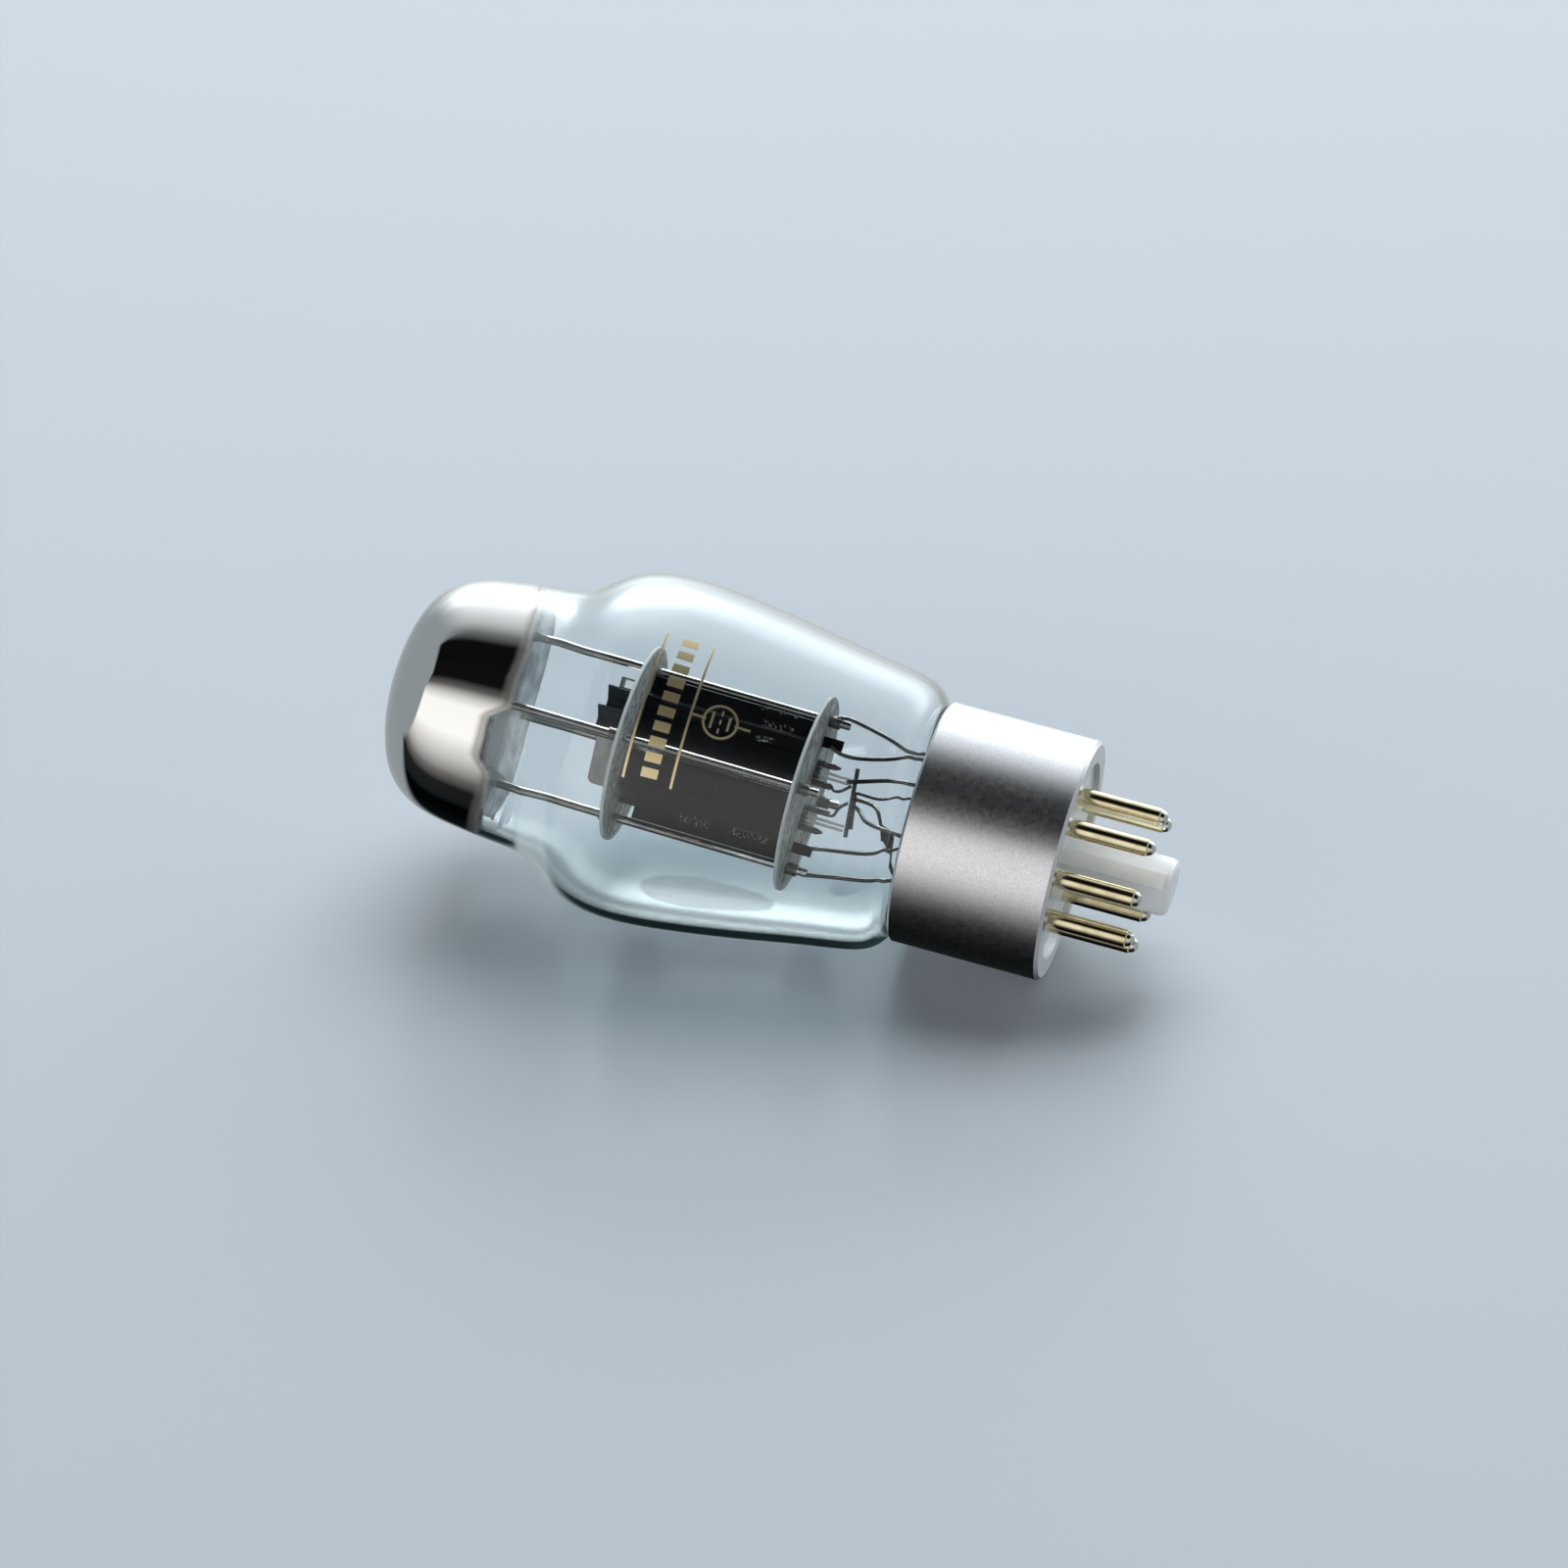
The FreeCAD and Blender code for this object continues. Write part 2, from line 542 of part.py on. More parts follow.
# One lead carries a flat flag near the stem and meets the jumper through an arched wire
flag_arc = wire([(0.43, -0.55, 29.2), (0.34, -1.3, 27.8), (0.07, -2.0, 26.4), (-0.42, -2.6, 25.6),
                 (-1.3, -3.1, 24.9), (-2.3, -3.35, 24.3)], LEAD_R)
flag_loop = [V(x, FLAG_Y, z) for x, z in FLAG_OUTLINE + FLAG_OUTLINE[:1]]
flag = Part.Face(Part.makePolygon(flag_loop)).extrude(V(0, FLAG_T, 0))

for pin, (x, y) in enumerate(pin_spots, 1):
    lead = rod(x, y, LEAD_END_Z, LEAD_TURN_Z, LEAD_R)
    run = lead_runs[pin - 1]
    if run:
        radius = THIN_LEAD_R if pin == THIN_LEAD else LEAD_R
        lead = lead.fuse(wire(run + [(x, y, LEAD_RISE_Z), (x, y, LEAD_TURN_Z)], radius))
    if pin == FLAG_LEAD:
        lead = lead.fuse(flag_arc).fuse(flag)
    save(lead.removeSplitter(), "lead_" + str(pin))


def getter(x, y, z, side):
    """Flash ring with the short stay that holds it to the side rod."""
    ring = Part.makeTorus(GETTER_RING_R, GETTER_WIRE_R, V(x, y, z), V(side * 0.02, 0, 1))
    foot = (side * ROD_RING_R + 0.33, y, GETTER_STAY_Z)
    stay = straight_wire((x + side * GETTER_RING_R, y, z), foot, GETTER_STAY_R)
    return ring.fuse(stay)


save(getter(5.1, -0.5, 77.5, 1), "getter_ring_a")
save(getter(-5.0, 0.5, 78.3, -1), "getter_ring_b")
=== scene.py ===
import math

import bmesh
import bpy
import numpy as np
from mathutils import Matrix, Vector


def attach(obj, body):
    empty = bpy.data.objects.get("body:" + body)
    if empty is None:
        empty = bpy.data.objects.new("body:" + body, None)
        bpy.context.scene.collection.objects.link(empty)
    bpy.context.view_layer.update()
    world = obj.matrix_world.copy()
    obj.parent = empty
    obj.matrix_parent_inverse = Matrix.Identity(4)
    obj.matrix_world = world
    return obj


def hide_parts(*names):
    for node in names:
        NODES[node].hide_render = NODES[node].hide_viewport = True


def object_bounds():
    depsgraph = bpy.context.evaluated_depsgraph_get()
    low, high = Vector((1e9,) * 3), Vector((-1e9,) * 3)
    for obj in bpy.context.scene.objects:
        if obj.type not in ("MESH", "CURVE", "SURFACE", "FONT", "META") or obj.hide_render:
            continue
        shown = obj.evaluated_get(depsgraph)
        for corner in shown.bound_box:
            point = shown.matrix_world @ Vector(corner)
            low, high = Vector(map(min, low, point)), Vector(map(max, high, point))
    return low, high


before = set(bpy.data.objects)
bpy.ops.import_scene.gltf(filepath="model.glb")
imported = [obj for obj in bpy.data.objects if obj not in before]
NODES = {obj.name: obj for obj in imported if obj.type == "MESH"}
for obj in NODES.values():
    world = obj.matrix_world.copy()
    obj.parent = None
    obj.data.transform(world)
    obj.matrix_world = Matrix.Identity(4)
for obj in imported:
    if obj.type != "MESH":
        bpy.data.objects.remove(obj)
cad_low, cad_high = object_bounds()

MM = 0.001
UP = Vector((0, 0, 1))

# Bulb profile in millimetres, (height, radius), from the neck to the crown
BULB_PROFILE = [
    (20.6, 15.55), (21.6, 16.88), (22.9, 17.78), (25.4, 18.53), (30.6, 19.38),
    (38.2, 20.70), (46.0, 21.92), (51.1, 22.55), (56.0, 22.85), (60.1, 22.54),
    (62.7, 21.87), (64.6, 21.00), (66.6, 19.66), (68.2, 18.50), (69.4, 17.81),
    (70.9, 17.40), (74.3, 17.03), (79.0, 16.45), (82.6, 15.83), (85.0, 15.05),
    (87.0, 13.85), (88.6, 12.20), (89.9, 9.65), (90.9, 6.00), (91.45, 2.60),
]
CROWN_Z = 91.6
NECK_R = 14.4
NECK_Z = 15.2
NECK_FLARE = 0.9
GLASS_WALL = 0.9
FILM_LIP_Z = 76.6
FILM_LIP_TILT = math.radians(10)
FILM_GAP = 0.02
FILM_WALL = 0.12

# Opening in the film's lip beside one flash ring: from x, to x, how softly, and how deep
LIP_OPENING = (-8.0, -3.5, 2.5)
LIP_OPENING_DEPTH = 2.2

# Viewing direction: the axis slopes across the picture and its pin end leans towards the camera
AXIS_SLOPE = math.radians(15.05)
PIN_END_LEAN = math.radians(8.9)
KEY_TURN = math.radians(84.25)
CAMERA_DISTANCE = 0.869
CAMERA_AIM = Vector((0, 0, 0.0387))
LENS_MM = 154.35
TABLE_PITCH = math.radians(34.5)


# ---------------------------------------------------------------- directions

def camera_axes():
    """Right, up and backward axes of the camera, in the row frame."""
    pins = Vector((math.cos(PIN_END_LEAN) * math.cos(AXIS_SLOPE),
                   -math.cos(PIN_END_LEAN) * math.sin(AXIS_SLOPE),
                   math.sin(PIN_END_LEAN)))
    across = Vector((math.sin(AXIS_SLOPE), math.cos(AXIS_SLOPE), 0))
    toward = pins.cross(across) * -1
    if toward.z < 0:
        toward = -toward
    row_z = -pins
    row_x = across * math.sin(KEY_TURN) - toward * math.cos(KEY_TURN)
    row_y = -(across * math.cos(KEY_TURN) + toward * math.sin(KEY_TURN))
    seen = Matrix((row_x, row_y, row_z))
    return [Vector([seen[i][j] for i in range(3)]) for j in range(3)]


RIGHT, PICTURE_UP, BACK = camera_axes()
TABLE_UP = PICTURE_UP * math.cos(TABLE_PITCH) + BACK * math.sin(TABLE_PITCH)
TABLE_FRONT = BACK * math.cos(TABLE_PITCH) - PICTURE_UP * math.sin(TABLE_PITCH)


def aimed(location, target, roll_up):
    """World matrix at location whose -Z looks at target."""
    back = (location - target).normalized()
    right = roll_up.cross(back).normalized()
    up = back.cross(right)
    turn = Matrix((right, up, back)).transposed().to_4x4()
    return Matrix.Translation(location) @ turn


def make_camera():
    data = bpy.data.cameras.new("camera")
    data.lens = LENS_MM
    data.sensor_width = 36
    data.clip_start = 0.05
    data.clip_end = 20
    camera = bpy.data.objects.new("camera", data)
    bpy.context.collection.objects.link(camera)
    turn = Matrix((RIGHT, PICTURE_UP, BACK)).transposed().to_4x4()
    camera.matrix_world = Matrix.Translation(CAMERA_AIM + BACK * CAMERA_DISTANCE) @ turn
    bpy.context.scene.camera = camera


make_camera()


# ---------------------------------------------------------------- mesh helpers

def smooth_curve(points, step):
    """Natural cubic spline through the points, sampled about every step."""
    points = np.array(points, float)
    t = np.concatenate([[0], np.cumsum(np.linalg.norm(np.diff(points, axis=0), axis=1))])
    n = len(points)
    h = np.diff(t)
    system = np.zeros((n, n))
    right = np.zeros((n, points.shape[1]))
    system[0, 0] = system[-1, -1] = 1
    for i in range(1, n - 1):
        system[i, i - 1] = h[i - 1]
        system[i, i] = 2 * (h[i - 1] + h[i])
        system[i, i + 1] = h[i]
        right[i] = 6 * ((points[i + 1] - points[i]) / h[i] - (points[i] - points[i - 1]) / h[i - 1])
    bend = np.linalg.solve(system, right)
    where = np.linspace(0, t[-1], max(2, int(t[-1] / step)) + 1)
    span = np.clip(np.searchsorted(t, where, side="right") - 1, 0, n - 2)
    a = (t[span + 1] - where)[:, None]
    b = (where - t[span])[:, None]
    w = h[span][:, None]
    low, high = points[span], points[span + 1]
    curve = (bend[span] * a ** 3 + bend[span + 1] * b ** 3) / (6 * w)
    curve += (low / w - bend[span] * w / 6) * a + (high / w - bend[span + 1] * w / 6) * b
    return curve


def bulb_profile(inset):
    """(radius, height) samples of the bulb from neck to crown, moved inward by the inset."""
    points = [(r, z) for z, r in BULB_PROFILE] + [(0, CROWN_Z)]
    points += [(-r, z) for z, r in reversed(BULB_PROFILE[-6:])]
    curve = smooth_curve(points, 0.45)
    heading = np.gradient(curve, axis=0)
    heading /= np.linalg.norm(heading, axis=1)[:, None]
    moved = curve + np.stack([-heading[:, 1], heading[:, 0]], axis=1) * inset
    kept = [tuple(p) for p in moved if p[0] > 0.02]
    return kept + [(0.0, CROWN_Z - inset)]


def finish_mesh(name, bm, sharp=32):
    mesh = bpy.data.meshes.new(name)
    bmesh.ops.recalc_face_normals(bm, faces=bm.faces)
    bm.to_mesh(mesh)
    bm.free()
    for face in mesh.polygons:
        face.use_smooth = True
    mesh.set_sharp_from_angle(angle=math.radians(sharp))
    piece = bpy.data.objects.new(name, mesh)
    bpy.context.collection.objects.link(piece)
    return piece


def lathe(name, profile, segments=160, sharp=32, centre=(0, 0)):
    """Closed solid of revolution about a vertical axis from (radius, height) millimetres."""
    bm = bmesh.new()
    rings = []
    for r, z in profile:
        if r < 1e-6:
            rings.append([bm.verts.new((centre[0] * MM, centre[1] * MM, z * MM))])
            continue
        ring = []
        for i in range(segments):
            angle = 2 * math.pi * i / segments
            ring.append(bm.verts.new(((centre[0] + r * math.cos(angle)) * MM,
                                      (centre[1] + r * math.sin(angle)) * MM, z * MM)))
        rings.append(ring)
    closed = len(rings[0]) > 1 or len(rings[-1]) > 1
    pairs = list(zip(rings, rings[1:]))
    if closed:
        pairs.append((rings[-1], rings[0]))
    for low, high in pairs:
        for i in range(segments):
            j = (i + 1) % segments
            corners = [low[i % len(low)], low[j % len(low)], high[j % len(high)], high[i % len(high)]]
            unique = list(dict.fromkeys(corners))
            if len(unique) > 2:
                bm.faces.new(unique)
    return finish_mesh(name, bm, sharp)


def settle(piece, slot, *nodes):
    """Ride the piece on the tube and hide the CAD nodes that it stands for. The slot is not used."""
    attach(piece, "root")
    if nodes:
        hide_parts(*nodes)
    return piece


# ---------------------------------------------------------------- materials

class Nodes:
    """A node tree under construction, with short ways to add to it."""

    def __init__(self, tree):
        self.tree = tree

    def node(self, kind, **settings):
        node = self.tree.nodes.new(kind)
        for name, value in settings.items():
            setattr(node, name, value)
        return node

    def link(self, a, b):
        self.tree.links.new(a, b)

    def feed(self, value, socket):
        """Link a socket or set a plain value."""
        if isinstance(value, (int, float)):
            socket.default_value = value
        else:
            self.link(value, socket)

    def place(self, kind="Object"):
        return self.node("ShaderNodeTexCoord").outputs[kind]

    def math(self, how, a, b=0.0, clamp=False):
        node = self.node("ShaderNodeMath", operation=how, use_clamp=clamp)
        self.feed(a, node.inputs[0])
        self.feed(b, node.inputs[1])
        return node.outputs["Value"]

    def step(self, value, start, end, before=0.0, after=1.0):
        """One level before start, another after end, and a smooth way between."""
        node = self.node("ShaderNodeMapRange", interpolation_type="SMOOTHSTEP")
        self.feed(value, node.inputs["Value"])
        self.feed(start, node.inputs["From Min"])
        self.feed(end, node.inputs["From Max"])
        self.feed(before, node.inputs["To Min"])
        self.feed(after, node.inputs["To Max"])
        return node.outputs["Result"]

    def between(self, factor, a, b):
        """a where the factor is 0 and b where it is 1."""
        node = self.node("ShaderNodeMix", data_type="FLOAT")
        for number, socket in ((factor, 0), (a, 2), (b, 3)):
            self.feed(number, node.inputs[socket])
        return node.outputs[0]

    def within(self, value, low, high, soft):
        """1 between low and high, 0 outside, and a smooth way between at both ends."""
        rise = self.step(value, low - soft, low)
        fall = self.step(value, high, high + soft)
        return self.math("MULTIPLY", rise, self.math("SUBTRACT", 1.0, fall))

    def length(self, a, b):
        squares = [self.math("MULTIPLY", side, side) for side in (a, b)]
        return self.math("SQRT", self.math("ADD", *squares))

    def dot(self, a, direction):
        node = self.node("ShaderNodeVectorMath", operation="DOT_PRODUCT")
        self.link(a, node.inputs[0])
        node.inputs[1].default_value = direction
        return node.outputs["Value"]

    def mix(self, how, factor, a, b):
        """Blend two colours, each a socket or a plain colour."""
        node = self.node("ShaderNodeMix", data_type="RGBA", blend_type=how)
        self.feed(factor, node.inputs[0])
        for value, socket in ((a, node.inputs[6]), (b, node.inputs[7])):
            if isinstance(value, tuple):
                socket.default_value = (*value, 1)
            else:
                self.link(value, socket)
        return node.outputs[2]

    def ramp(self, source, *stops):
        ramp = self.node("ShaderNodeValToRGB")
        elements = ramp.color_ramp.elements
        while len(elements) < len(stops):
            elements.new(0.5)
        for element, (at, colour) in zip(elements, stops):
            element.position = at
            if not isinstance(colour, tuple):
                colour = (colour, colour, colour)
            element.color = (*colour, 1)
        self.link(source, ramp.inputs["Fac"])
        return ramp.outputs["Color"]


class Look(Nodes):
    """A material round one Principled shader."""

    def __init__(self, name):
        self.material = bpy.data.materials.new(name)
        self.material.use_nodes = True
        super().__init__(self.material.node_tree)
        self.shader = self.tree.nodes["Principled BSDF"]
        self.out = self.tree.nodes["Material Output"]

    def set(self, **values):
        for name, value in values.items():
            self.shader.inputs[name.replace("_", " ")].default_value = value
        return self

    def noise(self, scale, detail=3, rough=0.5, stretch=None):
        noise = self.node("ShaderNodeTexNoise")
        noise.inputs["Scale"].default_value = scale
        noise.inputs["Detail"].default_value = detail
        noise.inputs["Roughness"].default_value = rough
        where = self.place()
        if stretch:
            mapping = self.node("ShaderNodeMapping")
            mapping.inputs["Scale"].default_value = stretch
            self.link(where, mapping.inputs["Vector"])
            where = mapping.outputs["Vector"]
        self.link(where, noise.inputs["Vector"])
        return noise.outputs["Fac"]

    def position(self):
        """Position on the tube, in millimetres."""
        scale = self.node("ShaderNodeVectorMath", operation="SCALE")
        scale.inputs["Scale"].default_value = 1 / MM
        self.link(self.place(), scale.inputs[0])
        split = self.node("ShaderNodeSeparateXYZ")
        self.link(scale.outputs["Vector"], split.inputs["Vector"])
        return split.outputs["X"], split.outputs["Y"], split.outputs["Z"]

    def bump(self, height, strength, distance):
        bump = self.node("ShaderNodeBump")
        bump.inputs["Strength"].default_value = strength
        bump.inputs["Distance"].default_value = distance
        self.link(height, bump.inputs["Height"])
        self.link(bump.outputs["Normal"], self.shader.inputs["Normal"])

    def drive(self, name, socket):
        self.link(socket, self.shader.inputs[name])

    def colour(self, socket):
        self.drive("Base Color", socket)

    def roughness(self, socket):
        self.drive("Roughness", socket)

    def pass_through(self, factor, tint=(1, 1, 1)):
        """Show nothing at all, or only a tint, where the factor is 1."""
        clear = self.node("ShaderNodeBsdfTransparent")
        clear.inputs["Color"].default_value = (*tint, 1)
        mix = self.node("ShaderNodeMixShader")
        self.link(factor, mix.inputs["Fac"])
        self.link(self.shader.outputs["BSDF"], mix.inputs[1])
        self.link(clear.outputs["BSDF"], mix.inputs[2])
        self.link(mix.outputs["Shader"], self.out.inputs["Surface"])

    def let_lamps_through(self, share=None):
        """Glass that throws no solid shadow, so that lamps reach what it shuts in."""
        path = self.node("ShaderNodeLightPath").outputs["Is Shadow Ray"]
        self.pass_through(self.math("MULTIPLY", path, share) if share else path, LAMP_LIGHT_THROUGH)

    def tint_by_depth(self, colour, density):
        """Glass that takes colour where the light runs a long way in it."""
        inside = self.node("ShaderNodeVolumeAbsorption")
        inside.inputs["Color"].default_value = (*colour, 1)
        inside.inputs["Density"].default_value = density
        self.link(inside.outputs["Volume"], self.out.inputs["Volume"])


def glass_look():
    look = Look("clear_glass")
    look.set(Base_Color=(0.985, 0.995, 0.995, 1), Roughness=0.0, IOR=1.5, Transmission_Weight=1.0)
    look.let_lamps_through()
    look.tint_by_depth(DEPTH_TINT, DEPTH_DENSITY)
    return look.material


def above_lip(look):
    """Millimetres above the lip of the getter film, which is tilted, uneven and partly open."""
    x, y, z = look.position()
    level = look.math("SUBTRACT", z, FILM_LIP_Z)
    level = look.math("SUBTRACT", level, look.math("MULTIPLY", y, math.tan(FILM_LIP_TILT)))
    opening = look.math("MULTIPLY", look.within(x, *LIP_OPENING), look.step(y, 0.0, -6.0))
    level = look.math("SUBTRACT", level, look.math("MULTIPLY", opening, LIP_OPENING_DEPTH))
    broad = look.math("MULTIPLY", look.math("SUBTRACT", look.noise(110, 2), 0.5), 1.6)
    fine = look.math("MULTIPLY", look.math("SUBTRACT", look.noise(900, 4), 0.5), 0.3)
    return look.math("ADD", level, look.math("ADD", broad, fine))


def printed_marks(look):
    """Plain gold print on the front of the bulb: blocks between two rules, and a valve symbol."""
    x, y, z = look.position()
    around = look.math("MULTIPLY", look.math("ARCTAN2", x, look.math("MULTIPLY", y, -1)), MARK_R)
    ends = look.within(around, *MARK_SPAN, PRINT_EDGE)
    marks = []
    for level in MARK_RULES:
        rule = look.within(z, level, level + RULE_W, PRINT_EDGE)
        marks.append(look.math("MULTIPLY", rule, ends))
    beat = look.math("MODULO", look.math("ADD", around, BLOCK_PITCH * 50), BLOCK_PITCH)
    across = look.within(beat, BLOCK_START, BLOCK_START + BLOCK_W, PRINT_EDGE)
    blocks = look.math("MULTIPLY", across, look.within(z, *BLOCK_Z, PRINT_EDGE))
    marks.append(look.math("MULTIPLY", blocks, ends))
    off_x = look.math("SUBTRACT", around, SYMBOL_AT[0])
    off_z = look.math("SUBTRACT", z, SYMBOL_AT[1])
    marks.append(look.within(look.length(off_x, off_z), SYMBOL_R - RULE_W, SYMBOL_R, PRINT_EDGE))
    for bar_x, bar_z, half_x, half_z in SYMBOL_BARS:
        across = look.within(off_x, bar_x - half_x, bar_x + half_x, PRINT_EDGE)
        along = look.within(off_z, bar_z - half_z, bar_z + half_z, PRINT_EDGE)
        marks.append(look.math("MULTIPLY", across, along))
    total = marks[0]
    for mark in marks[1:]:
        total = look.math("MAXIMUM", total, mark)
    wall = look.math("ADD", look.math("MULTIPLY", z, WALL_SLOPE), WALL_AT_FOOT)
    outside = look.math("GREATER_THAN", look.length(x, y), wall)
    return look.math("MULTIPLY", look.math("MULTIPLY", total, outside), PRINT_COVER)


def silvered_look():
    """Bulb glass that carries the gold print and turns to a mirror above the lip of the getter film."""
    look = Look("silvered_glass")
    look.set(IOR=1.5)
    level = above_lip(look)
    silver = look.step(level, -1.3, 0.9)
    print_mask = printed_marks(look)
    covered = look.math("MAXIMUM", silver, print_mask)
    look.drive("Metallic", covered)
    clear = look.math("SUBTRACT", 1.0, covered)
    look.drive("Transmission Weight", clear)
    tone = look.ramp(silver, (0.0, (0.985, 0.995, 0.995)), (0.5, (0.42, 0.40, 0.38)), (1.0, DOME_TONE))
    look.colour(look.mix("MIX", print_mask, tone, (0.72, 0.60, 0.30)))
    look.roughness(look.math("MULTIPLY", print_mask, 0.4))
    look.let_lamps_through(clear)
    look.tint_by_depth(DEPTH_TINT, DEPTH_DENSITY)
    return look.material


def film_look():
    look = Look("getter_film")
    look.set(Metallic=1.0, Base_Color=(0.42, 0.41, 0.40, 1))
    look.roughness(look.ramp(look.noise(260, 4), (0.35, 0.08), (0.75, 0.2)))
    look.drive("Alpha", look.step(above_lip(look), 0.2, 1.8))
    return look.material


def mica_look():
    """Electrode mica: mottled grey flakes with brownish streaks and a paler cut rim."""
    look = Look("mica_sheet")
    look.set(Roughness=0.6, Specular_IOR_Level=0.2, IOR=1.56)
    x, y, z = look.position()
    flakes = look.noise(900, 5, 0.65)
    tone = look.ramp(flakes, (0.36, (0.27, 0.265, 0.26)), (0.46, (0.43, 0.43, 0.43)),
                     (0.54, (0.57, 0.575, 0.58)), (0.66, (0.70, 0.71, 0.72)))
    stain = look.ramp(look.noise(210, 4, 0.65), (0.38, (0.70, 0.66, 0.61)), (0.54, (1.0, 1.0, 1.0)))
    streaked = look.mix("MULTIPLY", 1.0, tone, stain)
    rim = look.step(look.length(x, y), *MICA_RIM)
    look.colour(look.mix("MIX", rim, streaked, (0.66, 0.67, 0.68)))
    look.bump(flakes, 0.3, 0.04 * MM)
    return look.material


def clear_mica_look():
    """Spacer mica under the crown: one thin, nearly clear sheet with a bluish cast."""
    look = Look("clear_mica")
    look.set(Roughness=0.25, IOR=1.56)
    flakes = look.noise(300, 5, 0.7)
    look.colour(look.ramp(flakes, (0.40, (0.22, 0.26, 0.30)), (0.60, (0.60, 0.63, 0.66))))
    look.drive("Alpha", look.ramp(flakes, (0.38, 0.75), (0.60, 0.32)))
    return look.material


def carbon_look():
    """Carbonised nickel: near black, with bare flecks along the weld rows."""
    look = Look("carbonised_nickel")
    look.set(Specular_IOR_Level=0.12)
    soot = look.noise(420, 6, 0.6)
    black = look.ramp(soot, (0.3, (0.003, 0.003, 0.004)), (0.75, (0.009, 0.0095, 0.012)))
    x, y, z = look.position()
    chips = look.step(look.noise(2600, 3, 0.7), 0.54, 0.62)
    rows = 0.0
    for row_x, half, low, high in WELD_ROWS:
        across = look.within(x, row_x - half, row_x + half, 0.2)
        row = look.math("MULTIPLY", across, look.within(z, low, high, 0.6))
        rows = look.math("MAXIMUM", row, rows)
    bare = look.math("MULTIPLY", chips, rows)
    look.colour(look.mix("MIX", bare, black, (0.30, 0.31, 0.32)))
    look.roughness(look.ramp(look.noise(120, 4), (0.3, 0.34), (0.7, 0.5)))
    look.bump(look.noise(1400, 4), 0.06, 0.02 * MM)
    return look.material


def metal_look(name, colour, rough, streak=True):
    look = Look(name)
    look.set(Metallic=1.0)
    dull = tuple(c * 0.72 for c in colour)
    look.colour(look.ramp(look.noise(500, 5), (0.3, dull), (0.62, colour)))
    stretch = (1, 1, 0.04) if streak else None
    look.roughness(look.ramp(look.noise(2200, 4, stretch=stretch), (0.3, rough * 0.7), (0.7, rough * 1.6)))
    return look.material


def blasted_look():
    look = Look("blasted_aluminium")
    look.set(Metallic=1.0)
    grain = look.noise(5200, 2, 0.5)
    look.colour(look.ramp(grain, (0.28, (0.60, 0.60, 0.62)), (0.5, (0.70, 0.70, 0.725)),
                          (0.72, (0.82, 0.82, 0.84))))
    look.roughness(look.ramp(look.noise(1500, 3), (0.3, 0.27), (0.7, 0.34)))
    look.bump(grain, 0.15, 0.02 * MM)
    return look.material


def gold_look():
    look = Look("gold_plate")
    look.set(Metallic=1.0)
    tone = look.noise(600, 4)
    look.colour(look.ramp(tone, (0.3, (0.66, 0.57, 0.36)), (0.65, (0.84, 0.76, 0.54))))
    look.roughness(look.ramp(look.noise(1400, 4, stretch=(1, 1, 0.1)), (0.3, 0.07), (0.7, 0.15)))
    return look.material


def plain_look(name, dark, light, rough, grain, subsurface=0.0):
    look = Look(name)
    look.set(Subsurface_Weight=subsurface, Subsurface_Scale=1.2 * MM)
    speckle = look.noise(grain, 5, 0.6)
    look.colour(look.ramp(speckle, (0.3, dark), (0.7, light)))
    look.roughness(look.ramp(look.noise(grain * 0.4, 3), (0.3, rough), (0.7, rough + 0.12)))
    look.bump(speckle, 0.12, 0.03 * MM)
    return look.material


# Glass: its colour where light runs far in it, how strongly, and what lamps keep on the way through
DEPTH_TINT = (0.30, 0.72, 0.76)
DEPTH_DENSITY = 60
LAMP_LIGHT_THROUGH = (0.86, 0.89, 0.90)
# Mirror tone of the crown
DOME_TONE = (0.62, 0.615, 0.605)

# Gold print on the bulb in millimetres, (round the tube from the front, up the tube)
MARK_R = 22.4
MARK_SPAN = (-6.6, 13.4)
MARK_RULES = (49.0, 55.2)
RULE_W = 0.28
PRINT_EDGE = 0.05
PRINT_COVER = 0.9
BLOCK_PITCH = 2.0
BLOCK_START = 0.1
BLOCK_W = 1.2
BLOCK_Z = (51.1, 53.2)
SYMBOL_AT = (3.4, 45.3)
SYMBOL_R = 2.3
# Bars of the valve symbol, from its centre: (across, along, half width, half length)
SYMBOL_BARS = [
    (0, 1.1, 1.1, 0.14), (0, 2.9, 0.14, 1.0), (-1.2, 0, 0.3, 0.1), (0, 0, 0.3, 0.1),
    (1.2, 0, 0.3, 0.1), (0, -1.1, 0.9, 0.14), (0, -2.9, 0.14, 1.0),
]
# A surface inside the bulb's wall that keeps the print off its inner face: the radius that it would
# have at z 0, and what that gains with each millimetre of height
WALL_AT_FOOT = 17.36
WALL_SLOPE = 0.09

# Where the paler cut rim of the electrode micas begins and is whole, from the axis
MICA_RIM = (12.1, 12.9)

# Bare flecks on the anodes in millimetres: row across, half width, from height, to height
WELD_ROWS = [
    (9.1, 0.45, 39.0, 44.0), (6.8, 0.5, 39.5, 43.0), (4.4, 0.3, 41.0, 43.2),
    (-7.7, 0.45, 39.0, 43.5), (-7.7, 0.45, 47.0, 50.5),
]

